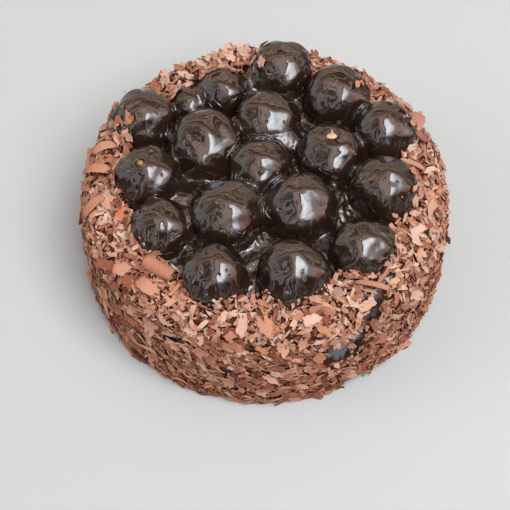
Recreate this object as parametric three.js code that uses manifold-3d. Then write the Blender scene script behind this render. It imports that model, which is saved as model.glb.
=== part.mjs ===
// A round profiterole cake: a drum of cake in a rough coat of chocolate shavings, a pool of
// dark chocolate glaze in its top, glazed cream puffs standing in the pool, and the largest
// chocolate curls lying on the rim. Millimetres, +Z up, origin at the middle of the underside.

import * as THREE from "three";
import { mergeVertices } from "three/addons/utils/BufferGeometryUtils.js";
import Module from "manifold-3d";

const wasm = await Module();
wasm.setup();

// ---- Driving dimensions ----

const CAKE_RADIUS = 122; // over the shavings, at half height
const RIM_HEIGHT = 87.5; // top of the raised rim of shavings
const FLOOR_HEIGHT = 80; // the flat top of the cake, inside the rim
const GLAZE_DEPTH = 5.5; // glaze over the flat top, outside the puffs
const GLAZE_SWELL = 5; // how much higher it stands in the middle, drawn up between the puffs
const GAP = 0.3; // room kept between touching pieces
const PUFF_SQUASH = 0.93; // a puff's half height over its half width
const PUFF_STAND = 0.7; // how high a puff's widest line stands, in half heights
const CURL_THICKNESS = 1.2;
const CURL_LIFT = 1.4; // room under a curl's ends, over the bumps of the rim
const GLAZE_EDGE = 96.5; // how far out the glaze reaches between two puffs
const EDGE_MARGIN = 1.2; // glaze outside an outer puff
const EDGE_SOFTNESS = 1.1; // rounding where the edge turns in between two puffs
const HEAPS = [[98, 7.5, 0.13], [122, 3, 0.45]]; // bearing, height, width in radians

const DRUM_SEGMENTS = 60;
const OUTLINE_POINTS = 72;
const PUFF_SEGMENTS = 14;
const PUFF_ROWS = 9;
const CURL_STEPS = 3;
const SWELL_STEPS = 4;

// Each puff: bearing in degrees from +X, distance from the middle, width, and its own squash if
// it is flatter than the rest. Twelve stand in a ring, one of them small and squeezed between its
// neighbours, and six inside it.
const OUTER_PUFFS = [
  [81, 88, 41], [51, 80, 44], [21, 86, 42.5], [-12, 79, 45], [-45, 86, 40], [-78, 83, 45],
  [-112, 87, 41], [-147, 79, 39], [-178, 77, 41], [151, 91, 43], [129, 80, 25], [111, 74.5, 36],
];
const INNER_PUFFS = [
  [148, 47, 48.5, 0.86], [85, 41, 44], [166, 3, 43], [17, 45, 42], [-125, 43, 48.5, 0.86],
  [-54, 37, 48, 0.88],
];

// Each curl: bearing, distance from the middle, heading of its bend, length along the bend,
// width across it, radius of the bend.
const CURLS = [
  [-133, 98, 57, 11, 22, 6], [-131.5, 111.5, -45, 18, 8, 12], [-142.5, 113.5, 20, 16, 12, 22],
  [-161.5, 99, 60, 17, 8, 14], [-169, 112, 37, 20, 6, 15], [177, 108.5, -12, 20, 6, 13],
  [167, 108, 20, 16, 7, 12], [26, 113, 30, 15, 11, 14], [-27, 109, 62, 20, 12, 24],
  [-53.5, 109.5, -27, 24, 4, 26], [-91, 111, -68, 20, 11, 24], [-76, 113.5, 12, 16, 9, 20],
];

const COLOURS = {
  shavings: new THREE.MeshStandardMaterial({ color: 0x8f5c45, roughness: 0.75, metalness: 0 }),
  glaze: new THREE.MeshStandardMaterial({ color: 0x1a100c, roughness: 0.08, metalness: 0 }),
  curl: new THREE.MeshStandardMaterial({ color: 0xa3674c, roughness: 0.6, metalness: 0 }),
};

const radians = THREE.MathUtils.degToRad;
const towards = (bearing, distance) =>
  new THREE.Vector3(distance * Math.cos(bearing), distance * Math.sin(bearing), 0);
const bump = (angle, middle, width) => {
  const off = Math.atan2(Math.sin(angle - middle), Math.cos(angle - middle));
  return Math.exp(-((off / width) ** 2));
};

// ---- Solids to cut with, and back ----

function solidOf(geometry) {
  const bare = new THREE.BufferGeometry();
  bare.setAttribute("position", geometry.getAttribute("position"));
  bare.setIndex(geometry.index);
  const merged = mergeVertices(bare, 1e-4);
  return new wasm.Manifold(
    new wasm.Mesh({
      numProp: 3,
      vertProperties: new Float32Array(merged.attributes.position.array),
      triVerts: new Uint32Array(merged.index.array),
    }),
  );
}

function geometryOf(solid) {
  const mesh = solid.getMesh();
  const geometry = new THREE.BufferGeometry();
  geometry.setAttribute("position", new THREE.BufferAttribute(mesh.vertProperties, 3));
  geometry.setIndex(new THREE.BufferAttribute(mesh.triVerts, 1));
  geometry.computeVertexNormals();
  return geometry;
}

// Moves each vertex of a geometry by a function of its place.
function reshape(geometry, change) {
  const place = geometry.getAttribute("position");
  const point = new THREE.Vector3();
  for (let i = 0; i < place.count; i++) {
    change(point.fromBufferAttribute(place, i));
    place.setXYZ(i, point.x, point.y, point.z);
  }
  return geometry;
}

// ---- Where the puffs stand ----

const puffs = [...OUTER_PUFFS, ...INNER_PUFFS].map((puff, i) => {
  const [bearing, distance, width, squash = PUFF_SQUASH] = puff;
  const radius = width / 2;
  const rise = radius * squash;
  const centre = towards(radians(bearing), distance);
  centre.z = FLOOR_HEIGHT + GAP + rise * PUFF_STAND;
  return { name: `puff_${String(i + 1).padStart(2, "0")}`, centre, radius, rise, turn: i * 2.4 };
});

// Choux rises unevenly: a few soft lobes, different on every puff.
function lobes(direction, turn) {
  const around = Math.atan2(direction.y, direction.x) + turn;
  const level = 1 - direction.z * direction.z;
  return (
    1 +
    level * (0.018 * Math.sin(2 * around) + 0.016 * Math.sin(3 * around + turn)) +
    0.014 * Math.sin(3 * direction.z + turn)
  );
}

// Where two puffs press on each other, both are flat along the plane between them.
function pressFlat(point, puff, grow) {
  for (const other of puffs) {
    if (other === puff) continue;
    const way = other.centre.clone().sub(puff.centre);
    const apart = way.length();
    if (apart > puff.radius + other.radius + 3) continue;
    way.divideScalar(apart);
    const share = (apart ** 2 + puff.radius ** 2 - other.radius ** 2) / (2 * apart);
    const past = point.clone().sub(puff.centre).dot(way) - (share - GAP / 2 + grow);
    if (past > 0) point.addScaledVector(way, -past);
  }
}

function puffGeometry(puff, grow = 0) {
  const ball = new THREE.SphereGeometry(1, PUFF_SEGMENTS, PUFF_ROWS).rotateX(Math.PI / 2);
  const floor = FLOOR_HEIGHT + GAP - 2 * grow;
  return reshape(ball, (point) => {
    const size = lobes(point, puff.turn);
    point.set(
      puff.centre.x + point.x * (puff.radius * size + grow),
      puff.centre.y + point.y * (puff.radius * size + grow),
      puff.centre.z + point.z * (puff.rise * size + grow),
    );
    pressFlat(point, puff, grow);
    point.z = Math.max(point.z, floor);
  });
}

// ---- The cake ----

// The rim of shavings is heaped higher at the back.
const heap = (angle) =>
  HEAPS.reduce((sum, [at, high, wide]) => sum + high * bump(angle, radians(at), wide), 0);

// The rough coat stands out and in by a millimetre or two.
function roughness(angle, height) {
  return (
    0.8 * Math.sin(5 * angle + 1.3 + height / 40) +
    0.6 * Math.sin(9 * angle - height / 17) +
    0.4 * Math.sin(16 * angle + height / 9)
  );
}

// The side and rim in section, from the middle of the underside to the middle of the top.
const section = [
  [0, 0], [-5, 0], [-2.5, 5], [-0.8, 22], [0, 44], [-0.4, 64], [-2.2, 77], [-6.5, 84.5],
  [-12, RIM_HEIGHT], [-20, RIM_HEIGHT],
].map(([inset, height], i) => new THREE.Vector2(i ? CAKE_RADIUS + inset : 0, height));
section.push(new THREE.Vector2(0, RIM_HEIGHT));

// The edge of the glaze bulges round each outer puff and falls back between them.
function edgeOfGlaze(angle) {
  let sum = Math.exp(GLAZE_EDGE / EDGE_SOFTNESS);
  for (const { centre, radius } of puffs) {
    const distance = Math.hypot(centre.x, centre.y);
    const off = angle - Math.atan2(centre.y, centre.x);
    const reach = (radius + EDGE_MARGIN) ** 2 - (distance * Math.sin(off)) ** 2;
    if (distance < 60 || Math.cos(off) < 0 || reach < 0) continue;
    sum += Math.exp((distance * Math.cos(off) + Math.sqrt(reach)) / EDGE_SOFTNESS);
  }
  return EDGE_SOFTNESS * Math.log(sum);
}

function edgePrism(inset, low, high) {
  const shape = new THREE.Shape();
  for (let i = 0; i < OUTLINE_POINTS; i++) {
    const angle = (i / OUTLINE_POINTS) * 2 * Math.PI;
    const corner = towards(angle, edgeOfGlaze(angle) - inset);
    if (i) shape.lineTo(corner.x, corner.y);
    else shape.moveTo(corner.x, corner.y);
  }
  const depth = high - low;
  return new THREE.ExtrudeGeometry(shape, { depth, bevelEnabled: false }).translate(0, 0, low);
}

function cakeGeometry() {
  const drum = new THREE.LatheGeometry(section, DRUM_SEGMENTS).rotateX(Math.PI / 2);
  reshape(drum, (point) => {
    const radius = Math.hypot(point.x, point.y);
    if (radius < 1) return;
    const angle = Math.atan2(point.y, point.x);
    const spread = 1 + roughness(angle, point.z) / radius;
    point.x *= spread;
    point.y *= spread;
    const up = (point.z - FLOOR_HEIGHT) / (RIM_HEIGHT - FLOOR_HEIGHT);
    point.z += heap(angle) * Math.max(up, 0);
  });
  const recess = edgePrism(0, FLOOR_HEIGHT, RIM_HEIGHT + 20);
  return geometryOf(solidOf(drum).subtract(solidOf(recess)));
}

// ---- The glaze ----

function glazeGeometry() {
  const low = FLOOR_HEIGHT + GAP;
  const crown = [new THREE.Vector2(0, low), new THREE.Vector2(CAKE_RADIUS, low)];
  for (let i = SWELL_STEPS; i >= 0; i--) {
    const share = i / SWELL_STEPS;
    const height = FLOOR_HEIGHT + GLAZE_DEPTH + GLAZE_SWELL * (1 - share ** 2);
    crown.push(new THREE.Vector2(CAKE_RADIUS * share, height));
  }
  const swell = new THREE.LatheGeometry(crown, DRUM_SEGMENTS / 2).rotateX(Math.PI / 2);
  let pool = solidOf(edgePrism(GAP, low, RIM_HEIGHT + 20)).intersect(solidOf(swell));
  for (const puff of puffs) pool = pool.subtract(solidOf(puffGeometry(puff, GAP)));
  return geometryOf(pool);
}

// ---- The large curls ----

// A shaving bent along part of a circle, its hollow side down, ready to lie on the rim.
function curlGeometry(length, width, bend) {
  const half = length / bend / 2;
  const outer = bend + CURL_THICKNESS / 2;
  const inner = bend - CURL_THICKNESS / 2;
  const top = Math.PI / 2;
  const shape = new THREE.Shape();
  shape.absarc(0, 0, outer, top - half, top + half, false);
  shape.absarc(0, 0, inner, top + half, top - half, true);
  return new THREE.ExtrudeGeometry(shape, {
    depth: width,
    bevelEnabled: false,
    curveSegments: CURL_STEPS,
  })
    .translate(0, -inner * Math.cos(half), -width / 2)
    .rotateX(Math.PI / 2);
}

// Height and slope of the rim at a distance from the middle.
function rimAt(distance) {
  const after = section.findIndex((p, i) => i > 5 && p.x <= distance);
  const [a, b] = [section[after], section[after - 1]];
  const slope = (b.y - a.y) / (b.x - a.x);
  return { height: a.y + slope * (distance - a.x), tilt: Math.atan(slope) };
}

// ---- The whole ----

const cake = new THREE.Group();

function addPiece(name, geometry, material, parent = cake) {
  const mesh = new THREE.Mesh(geometry, material);
  mesh.name = name;
  parent.add(mesh);
  return mesh;
}

addPiece("cake_body", cakeGeometry(), COLOURS.shavings);
addPiece("glaze_pool", glazeGeometry(), COLOURS.glaze);
for (const puff of puffs) addPiece(puff.name, puffGeometry(puff), COLOURS.glaze);

CURLS.forEach(([bearing, distance, heading, length, width, bend], i) => {
  const angle = radians(bearing);
  const { height, tilt } = rimAt(distance);
  const place = new THREE.Group();
  place.position.copy(towards(angle, distance));
  place.position.z = height + heap(angle) + CURL_LIFT;
  place.rotation.order = "ZYX";
  place.rotation.set(0, -tilt, angle);
  cake.add(place);
  const name = `curl_${String(i + 1).padStart(2, "0")}`;
  const curl = addPiece(name, curlGeometry(length, width, bend), COLOURS.curl, place);
  curl.rotation.z = radians(heading) - angle;
});

export default cake;
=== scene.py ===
# %% [markdown]
# # A profiterole cake
# A round cake with a poured chocolate glaze on top. Eighteen profiteroles stand in the glaze and
# wear it too, so each one is a dark mirror. The side and the rim are covered in thin shavings of
# milk chocolate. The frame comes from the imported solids, so every piece starts from their boxes.

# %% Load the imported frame
import math

import bpy
import numpy as np
from mathutils import Matrix, Vector, noise


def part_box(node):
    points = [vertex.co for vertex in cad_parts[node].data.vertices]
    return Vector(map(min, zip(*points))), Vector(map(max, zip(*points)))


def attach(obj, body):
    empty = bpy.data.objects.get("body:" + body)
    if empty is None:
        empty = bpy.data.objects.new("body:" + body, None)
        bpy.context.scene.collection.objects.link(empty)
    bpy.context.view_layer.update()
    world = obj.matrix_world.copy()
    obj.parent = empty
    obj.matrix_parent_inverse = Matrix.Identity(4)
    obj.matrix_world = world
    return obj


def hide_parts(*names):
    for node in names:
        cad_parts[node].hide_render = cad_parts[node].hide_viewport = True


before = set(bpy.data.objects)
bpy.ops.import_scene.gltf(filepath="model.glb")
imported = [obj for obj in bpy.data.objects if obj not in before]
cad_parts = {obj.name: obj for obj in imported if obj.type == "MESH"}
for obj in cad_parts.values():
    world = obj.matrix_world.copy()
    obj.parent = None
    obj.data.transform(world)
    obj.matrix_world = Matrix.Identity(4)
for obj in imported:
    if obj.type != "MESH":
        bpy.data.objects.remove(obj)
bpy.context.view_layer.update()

MM = 0.001
PUFF_NAMES = sorted(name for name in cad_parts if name.startswith("puff_"))
CURL_NAMES = sorted(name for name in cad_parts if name.startswith("curl_"))
print("nodes:", len(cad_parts), "puffs:", len(PUFF_NAMES), "curls:", len(CURL_NAMES))

# %% [markdown]
# ## Camera
# The cake is looked down on from a little over a metre away, with a long lens that keeps its
# round shape calm. The camera leans by a degree and a half, as a hand-held one does. Aiming comes
# from a track quaternion, and the lean is one more turn about the camera's own axis.

# %% Camera
EYE = Vector((-0.0035, -0.5966, 0.8665))
AIM = Vector((-0.0070, -0.0316, 0.0450))
LEAN = math.radians(-1.4)

lens = bpy.data.cameras.new("camera")
lens.lens, lens.sensor_width = 105.9, 36.0
camera = bpy.data.objects.new("camera", lens)
bpy.context.scene.collection.objects.link(camera)
level = (AIM - EYE).to_track_quat("-Z", "Y").to_matrix().to_4x4()
camera.matrix_world = Matrix.Translation(EYE) @ level @ Matrix.Rotation(LEAN, 4, "Z")
bpy.context.scene.camera = camera
print("camera looks down by", round(math.degrees(math.asin((EYE - AIM).normalized().z)), 1))

# %% [markdown]
# ## Writing node maths as sums
# Chocolate needs noise mixed with noise. It could be wired by hand, but that is hard to read. This
# small class holds one output socket of a node. Sums on it add Math nodes, and `node` adds any
# other kind, so a whole pattern fits on a few lines. It works in shader and geometry trees.

# %% A socket that can be written in sums
class Flow:
    def __init__(self, tree, socket=None):
        self.tree, self.socket = tree, socket

    def node(self, kind, settings=None, sockets=None, out=0):
        made = self.tree.nodes.new(kind)
        for name, value in (settings or {}).items():
            if name == "stops":
                ramp = made.color_ramp
                while len(ramp.elements) < len(value):
                    ramp.elements.new(0.5)
                for element, (place, colour) in zip(ramp.elements, value):
                    element.position, element.color = place, (*colour, 1.0)
            else:
                setattr(made, name, value)
        for name, value in (sockets or {}).items():
            if isinstance(value, Flow):
                self.tree.links.new(value.socket, made.inputs[name])
            else:
                made.inputs[name].default_value = value
        return Flow(self.tree, made.outputs[out])

    def sum(self, operation, other):
        return self.node("ShaderNodeMath", {"operation": operation}, {0: self, 1: other})

    def __add__(self, other):
        return self.sum("ADD", other)

    def __sub__(self, other):
        return self.sum("SUBTRACT", other)

    def __mul__(self, other):
        return self.sum("MULTIPLY", other)


def new_material(name):
    material = bpy.data.materials.new(name)
    material.use_nodes = True
    tree = material.node_tree
    shader = next(n for n in tree.nodes if n.type == "BSDF_PRINCIPLED")
    return material, Flow(tree), shader


def feed(flow, socket):
    flow.tree.links.new(flow.socket, socket)


def stored(flow, name, out=2):
    """What is stored at the points: output 2 is a number, 1 a vector, 0 a colour."""
    return flow.node("ShaderNodeAttribute", {"attribute_name": name}, out=out)


def stretched(flow, place, scale):
    return flow.node("ShaderNodeMapping", {}, {"Vector": place, "Scale": scale})


def relief(flow, height, distance):
    return flow.node("ShaderNodeBump", {}, {"Height": height, "Strength": 0.4, "Distance": distance})


def grain(flow, place, scale, detail=2.0, swirl=0.0):
    """Noise with so many grains a metre."""
    sockets = {"Vector": place, "Scale": scale, "Detail": detail, "Distortion": swirl}
    return flow.node("ShaderNodeTexNoise", {}, sockets)


def blend(flow, amount, one, other, mode="MIX"):
    settings = {"data_type": "RGBA", "blend_type": mode}
    return flow.node("ShaderNodeMix", settings, {0: amount, 6: one, 7: other}, out=2)

# %% [markdown]
# ## Dark glaze
# The glaze is cocoa, sugar and gelatine: nearly black, and as glossy as wet paint. What it looks
# like is mostly what it mirrors, so its colour is very dark and its roughness very low. Four
# noises are added up to bend what it mirrors: slow swirls, quick ripples, a pattern drawn out
# downwards where the glaze ran before it set, and level wrinkles. A number at each point, `low`,
# makes the last two stronger on the lower flanks. Under the shavings the glaze is dull, and
# `bare` says where it shows and keeps its gloss.

# %% Dark glaze
BARE_GLAZE = (0.014, 0.011, 0.011, 1)
DRAWN_DOWN = (330, 330, 45)  # grains a metre in x, y and z
WRINKLED = (70, 70, 650)
WAVE_DEPTH = 1.2 * MM


def dark_glaze(name, darkest, palest, roughness, shine=0.6, dusted=False):
    material, flow, shader = new_material(name)
    place = flow.node("ShaderNodeTexCoord", out=3)
    clouds = grain(flow, place, 70.0)
    colour = blend(flow, clouds, (*darkest, 1), (*palest, 1))
    if dusted:
        bare = stored(flow, "bare")
        colour = blend(flow, bare, colour, BARE_GLAZE)
        feed(bare * 0.9, shader.inputs["Coat Weight"])
        shader.inputs["Coat Roughness"].default_value = 0.08
    feed(colour, shader.inputs["Base Color"])
    feed(clouds * roughness + roughness * 0.4, shader.inputs["Roughness"])
    low = stored(flow, "low")
    runs = grain(flow, stretched(flow, place, DRAWN_DOWN), 1.0, 0.0)
    wrinkles = grain(flow, stretched(flow, place, WRINKLED), 1.0)
    waves = grain(flow, place, 80.0, 0.0, 1.2) + grain(flow, place, 210.0, 1.0) * 0.25
    waves = waves + runs * (low * 0.55 + 0.22) + wrinkles * (low * 0.32 + 0.14)
    feed(relief(flow, waves, WAVE_DEPTH), shader.inputs["Normal"])
    shader.inputs["IOR"].default_value = 1.55
    shader.inputs["Specular IOR Level"].default_value = shine
    return material


GLAZE = dark_glaze("dark_glaze", (0.0105, 0.0050, 0.0030), (0.0180, 0.0092, 0.0060), 0.04)
DULL_GLAZE = dark_glaze("dull_glaze", (0.036, 0.010, 0.004), (0.085, 0.025, 0.010), 0.9, 0.02, True)
print("made", GLAZE.name, "and", DULL_GLAZE.name)

# %% [markdown]
# ## Milk chocolate shavings
# A shaving is dull where the blade tore it and smooth where it slid, and no two are one colour:
# thin ones are pale and thick ones brown. The top end of the ramp turns reddish orange, a
# painted glow of light shining through thin chocolate. Painting each by hand is out of the
# question, so each shaving carries its own `tone`, a number from 0 to 1, and `shaved`, its place
# on itself. The tone picks the colour from a ramp, and a noise that reads the tone adds a warm
# or a cool tint. Another noise, stretched along `shaved`, draws the fine scratches of the blade.

# %% Milk chocolate
SCRATCHED = (150, 1500, 150)  # grains a metre along a shaving, across it and through it
SCRATCH_DEPTH = 0.2 * MM
WARM, COOL = (1.04, 0.98, 0.88, 1), (0.95, 1.01, 1.12, 1)


def milk_chocolate():
    material, flow, shader = new_material("milk_chocolate")
    place = flow.node("ShaderNodeTexCoord", out=3)
    tone = stored(flow, "tone")
    scratches = grain(flow, stretched(flow, stored(flow, "shaved", 1), SCRATCHED), 1.0)
    specks = grain(flow, place, 900.0, 3.0)
    stops = [
        (0.0, (0.040, 0.012, 0.006)),
        (0.15, (0.110, 0.034, 0.017)),
        (0.3, (0.200, 0.072, 0.042)),
        (0.42, (0.250, 0.104, 0.067)),
        (0.54, (0.345, 0.158, 0.098)),
        (0.66, (0.380, 0.208, 0.150)),
        (0.78, (0.415, 0.245, 0.180)),
        (0.88, (0.420, 0.280, 0.220)),
        (0.96, (0.430, 0.306, 0.244)),
        # the last stop is reddish orange: a painted glow of light shining through thin chocolate
        (1.0, (0.400, 0.125, 0.052)),
    ]
    worn = tone + (specks - 0.5) * 0.16 + (scratches - 0.5) * 0.16
    colour = flow.node("ShaderNodeValToRGB", {"stops": stops}, {0: worn})
    own = flow.node("ShaderNodeTexNoise", {"noise_dimensions": "1D"}, {"W": tone * 60.0})
    tint = blend(flow, own * 2.5 - 0.75, WARM, COOL)
    feed(blend(flow, 1.0, colour, tint, "MULTIPLY"), shader.inputs["Base Color"])
    feed(scratches * 0.25 + 0.5, shader.inputs["Roughness"])
    feed(relief(flow, scratches * 0.5 + specks, SCRATCH_DEPTH), shader.inputs["Normal"])
    shader.inputs["Specular IOR Level"].default_value = 0.03
    return material


MILK = milk_chocolate()
print("made", MILK.name, "with", len(MILK.node_tree.nodes), "nodes")

# %% [markdown]
# ## Cream and caramel
# One profiterole keeps a little peak of its cream bare, and on another a bubble in the glaze has
# burst and shows a drop of amber caramel. The pits of smaller bubbles are painted nearly black,
# as painted shade in the hollow of each burst bubble. All are too small for more than two cloudy
# colours and a soft gloss, so one maker does for them.

# %% Cream and caramel
def cloudy(name, one, other, rough):
    material, flow, shader = new_material(name)
    place = flow.node("ShaderNodeTexCoord", out=3)
    clouds = grain(flow, place, 600.0, 3.0)
    feed(blend(flow, clouds, (*one, 1), (*other, 1)), shader.inputs["Base Color"])
    feed(clouds * 0.2 + rough, shader.inputs["Roughness"])
    return material


CREAM = cloudy("cream", (0.36, 0.22, 0.12), (0.60, 0.46, 0.31), 0.4)
AMBER = cloudy("amber", (0.03, 0.010, 0.003), (0.34, 0.16, 0.035), 0.1)
# nearly black: painted shade for the hollow of a burst bubble
PIT_SHADE = cloudy("pit", (0.003, 0.002, 0.001), (0.010, 0.005, 0.003), 0.3)
print("made", CREAM.name, AMBER.name, PIT_SHADE.name)

# %% [markdown]
# ## From numbers to a mesh
# Food has few straight edges, so modelling it from boxes and cylinders gets nowhere. Most pieces
# here are worked out as lists of points and faces instead. One helper turns such lists into an
# object at the origin, another stores numbers at its points for the materials, and `settle` hangs
# a finished piece on the root and hides the imported solids that it stands for.

# %% Mesh helpers
def new_piece(name, points, faces, material, smooth=True):
    mesh = bpy.data.meshes.new(name)
    mesh.from_pydata(np.asarray(points, float).tolist(), [], faces)
    mesh.validate()
    mesh.update()
    mesh.polygons.foreach_set("use_smooth", [smooth] * len(mesh.polygons))
    mesh.materials.append(material)
    piece = bpy.data.objects.new(name, mesh)
    bpy.context.scene.collection.objects.link(piece)
    return piece


def paint(mesh, name, kind, values):
    """Stores one value for each point of a mesh, as a number or as a vector."""
    field = "vector" if kind == "FLOAT_VECTOR" else "value"
    mesh.attributes.new(name, kind, "POINT").data.foreach_set(field, np.ravel(values))


def joined(parts):
    """The points and faces of several closed shapes, as one list of each."""
    points, faces = [], []
    for some_points, some_faces in parts:
        faces += [tuple(len(points) + i for i in face) for face in some_faces]
        points += list(some_points)
    return points, faces


def rings_to_faces(rings, around):
    """Quads between rings of points that follow each other, the first ring lowest."""
    faces = []
    for row in range(rings - 1):
        a, b = row * around, (row + 1) * around
        for s in range(around):
            t = (s + 1) % around
            faces.append((a + s, a + t, b + t, b + s))
    return faces


def circle(count):
    """The bearings of so many points round a circle, in radians."""
    return np.arange(count) * 2 * np.pi / count


def sphere(up, turn):
    """The directions for every height angle with every bearing, in radians."""
    up = up[:, None]
    ways = np.broadcast_arrays(np.cos(up) * np.cos(turn), np.cos(up) * np.sin(turn), np.sin(up))
    return np.stack(ways, -1).reshape(-1, 3)


def baked(piece):
    """The piece with its modifiers applied, as a plain mesh on the same object."""
    view = bpy.context.evaluated_depsgraph_get()
    mesh = bpy.data.meshes.new_from_object(piece.evaluated_get(view), depsgraph=view)
    piece.modifiers.clear()
    piece.data = mesh
    return piece


def settle(piece, slot, *nodes):
    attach(piece, "root")
    if nodes:
        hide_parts(*nodes)
    triangles = sum(len(p.vertices) - 2 for p in piece.data.polygons)
    print(piece.name, "has", triangles, "triangles")

# %% [markdown]
# ## Profiteroles
# Choux paste blows up in the oven into a lumpy ball with a flat foot, and puffs that touch press
# each other flat. The lumps are a few waves that run through the ball in random directions,
# slow ones high and quick ones low, so no two puffs are alike. Some have a nub where the paste
# was piped off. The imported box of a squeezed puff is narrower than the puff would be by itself,
# so its middle is found by trial: squeeze it, compare the boxes, shift it.

# %% Numbers for the puffs
STAND = 0.7  # how high the widest line stands, in half heights
COAT = 0.4 * MM  # the glaze on the choux
TOUCHING = 3 * MM  # puffs with less room than this between them may press on each other
SLIT = 0.1 * MM  # and this much is taken off each where they do
WAVES = [  # how many, how quick, how high
    (3, 2.2, 0.020), (4, 4.2, 0.015), (5, 8.0, 0.0095), (7, 14.0, 0.0030),
]
NUBS = {  # puff: bearing, height angle, width in radians, height as a share of the radius
    2: (-15, 12, 0.35, 0.05), 3: (-25, 22, 0.30, 0.11), 5: (-30, 35, 0.25, 0.10),
    7: (150, 30, 0.5, 0.03), 9: (180, 80, 0.4, 0.04), 12: (-60, 45, 0.5, 0.05),
    13: (-160, 45, 0.45, 0.05), 14: (-40, 35, 0.45, 0.06), 16: (-80, 15, 0.45, 0.10),
    18: (120, 70, 0.4, 0.05),
}
PEAK_ON, PEAK_AT = 16, (19, 86)  # puff, bearing and height angle of the cream peak
DROP_ON, DROP_AT = 9, (-135, 77)  # and of the caramel drop
SWELLINGS = {  # the swollen ring round each of them: its radius, width and height
    PEAK_ON: (*PEAK_AT, 0.46, 0.08, 0.030), DROP_ON: (*DROP_AT, 0.24, 0.08, 0.035),
}


def heading(bearing, up):
    """A direction from a bearing and a height angle in degrees. Bearing 0 is +X, 90 is +Y."""
    bearing, up = math.radians(bearing), math.radians(up)
    return np.array([
        math.cos(up) * math.cos(bearing), math.cos(up) * math.sin(bearing), math.sin(up)
    ])

# %% One puff
class Puff:
    """A lumpy ball, read from the box of its solid."""

    def __init__(self, name):
        low, high = (np.array(corner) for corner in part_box(name))
        self.name, self.number = name, int(name[-2:])
        self.rise = (high[2] - low[2]) / (1 + STAND)
        self.radius = (high - low)[:2].max() / 2
        self.foot = low[2]
        self.middle = (low + high)[:2] / 2
        self.centre = np.array([*self.middle, high[2] - self.rise])
        self.sizes = np.array([self.radius, self.radius, self.rise]) + COAT
        draw = np.random.default_rng(self.number)
        wobble = draw.uniform(0.75, 1.3)
        self.swellings = []
        if self.number in NUBS:
            bearing, up, width, high = NUBS[self.number]
            self.swellings.append((bearing, up, 0, width, high))
        if self.number in SWELLINGS:
            self.swellings.append(SWELLINGS[self.number])
        self.waves, self.swell = [], 0.0
        for count, quick, high in WAVES:
            for _ in range(count):
                way = draw.normal(size=3)
                way *= quick * draw.uniform(0.7, 1.3) / np.linalg.norm(way)
                self.waves.append((way, draw.uniform(0, 2 * np.pi), high * wobble))
        self.swell = self.lumps(ball_ways(24, 12)).mean() - 1

    def lumps(self, ways):
        """How far the skin stands out in each direction, 1 being the plain ball."""
        size = 1 - self.swell
        size = size + sum(high * np.sin(ways @ way + phase) for way, phase, high in self.waves)
        for bearing, up, wide, width, high in self.swellings:
            off = np.arccos(np.clip(ways @ heading(bearing, up), -1, 1))
            size = size + high * np.exp(-(((off - wide) / width) ** 2))
        return size

    def skin(self, ways, inset=0.0):
        points = self.centre + ways * (self.sizes * self.lumps(ways)[:, None] - inset)
        for other in puffs:
            way = other.centre - self.centre
            apart = np.linalg.norm(way)
            if other is self or apart > self.radius + other.radius + TOUCHING:
                continue
            way /= apart
            share = (apart**2 + self.radius**2 - other.radius**2) / (2 * apart) - SLIT
            past = np.maximum((points - self.centre) @ way - share, 0)
            points = points - past[:, None] * way
        points[:, 2] = np.maximum(points[:, 2], self.foot)
        return points


def ball_ways(around, rows):
    """The directions of a ball's points: one at the foot, rings of points, one at the top."""
    up = np.linspace(-np.pi / 2, np.pi / 2, rows + 1)[1:-1]
    return np.concatenate([[[0, 0, -1]], sphere(up, circle(around)), [[0, 0, 1]]])

# %% Read the puffs from the frame
TRIALS = 8

puffs = [Puff(name) for name in PUFF_NAMES]
ways = ball_ways(36, 18)
for _ in range(TRIALS):
    for puff in puffs:
        shell = puff.skin(ways)
        puff.centre[:2] += puff.middle - (shell.min(0) + shell.max(0))[:2] / 2
print("puff widths, mm:", [round(p.radius * 2000) for p in puffs])

# %% Balls of choux in their glaze
AROUND, ROWS = 96, 56


def ball_faces(around, rows):
    last = (rows - 1) * around + 1
    faces = [tuple(1 + i for i in face) for face in rings_to_faces(rows - 1, around)]
    for s in range(around):
        t = (s + 1) % around
        faces += [(0, 1 + t, 1 + s), (last, last - around + s, last - around + t)]
    return faces


ways = ball_ways(AROUND, ROWS)
for puff in puffs:
    number = puff.name[-2:]
    ball = new_piece("profiterole_" + number, puff.skin(ways), ball_faces(AROUND, ROWS), GLAZE)
    paint(ball.data, "low", "FLOAT", np.clip((0.7 - ways[:, 2]) / 0.8, 0, 1))  # none on the cap
    settle(ball, "dark_glaze", puff.name)

# %% [markdown]
# ## The outline of the cake
# The drum under the shavings is a turned shape with an uneven skin. Blender's Screw modifier
# could turn a section too, but the skin's bumps and the heaps on the rim depend on the bearing,
# so the points are worked out here. The section runs up the side, round the shoulder and in over
# the rim. The same maker also gives the bed that the shavings are dropped on.

# %% Turned shapes
HEAPS = [(98, 7.5, 0.13), (122, 3.0, 0.45)]  # bearing, height in mm, width in radians
FLOOR = 80 * MM  # the top of the cake, inside the rim
RIM_RISE = 7.5 * MM
ROW = 2.2  # mm between rows of points
UNEVEN = 0.9 * MM
BUMPS = [(9, 75, 1.0), (26, 210, 0.6)]  # how many round the cake, how many a metre up, how high


def heap(angle):
    total = 0.0
    for bearing, height, width in HEAPS:
        off = math.remainder(angle - math.radians(bearing), 2 * math.pi)
        total += height * MM * math.exp(-((off / width) ** 2))
    return total


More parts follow.
